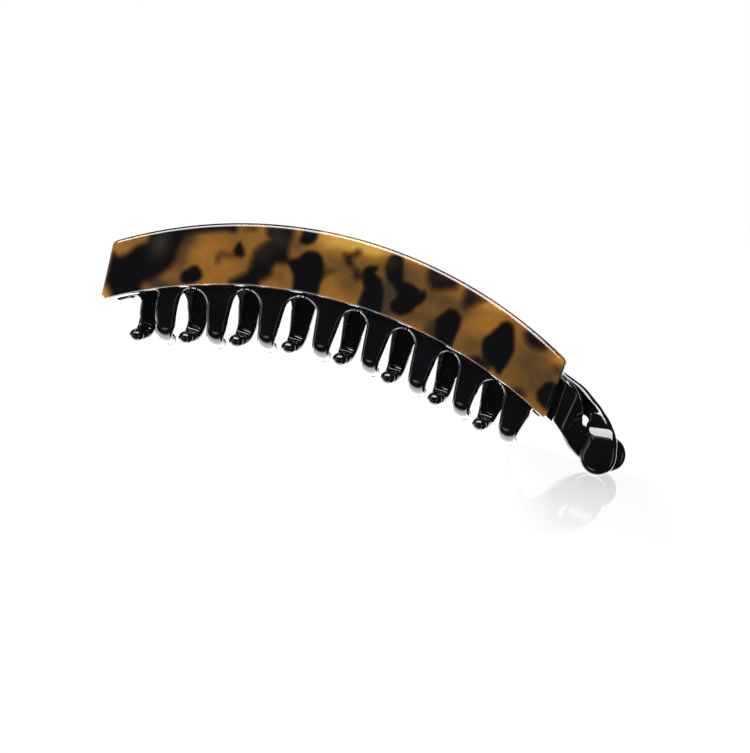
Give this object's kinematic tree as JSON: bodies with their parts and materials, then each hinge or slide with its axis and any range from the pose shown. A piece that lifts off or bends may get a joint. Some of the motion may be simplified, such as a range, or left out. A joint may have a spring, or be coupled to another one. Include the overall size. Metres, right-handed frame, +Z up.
{
  "type": "banana hair clip",
  "caption": "Arched hair clip: two toothed plastic jaws that interlock, hinged at one end, with a tortoiseshell plate on each and crossing arms with thumb pads.",
  "frame": {"origin": "on the surface it stands on, below the middle of the clip", "axes": "+X along the clip from the hinge to the thumb pads, -Y towards the front plate, +Z up, from the teeth to the arched top"},
  "size_m": [0.1288, 0.0164, 0.0373],
  "materials": {
    "black_plastic": "polished black moulding",
    "tortoise_acetate": "polished acetate, mottled amber and black",
    "steel": "plain steel"
  },
  "bodies": {
    "front": {"front_jaw": "black_plastic", "front_plate": "tortoise_acetate", "hinge_pin": "steel", "torsion_spring": "steel"},
    "rear": {"rear_jaw": "black_plastic", "rear_plate": "tortoise_acetate"}
  },
  "joints": [
    {"name": "jaw_hinge", "type": "hinge", "parent": "front", "child": "rear", "pos_m": [-0.0595, 0, 0.0153], "axis": [0, 0, 1], "range_deg": [0, 4.5], "stiffness_Nm_per_rad": 0.7, "springref_deg": -20.05}
  ]
}
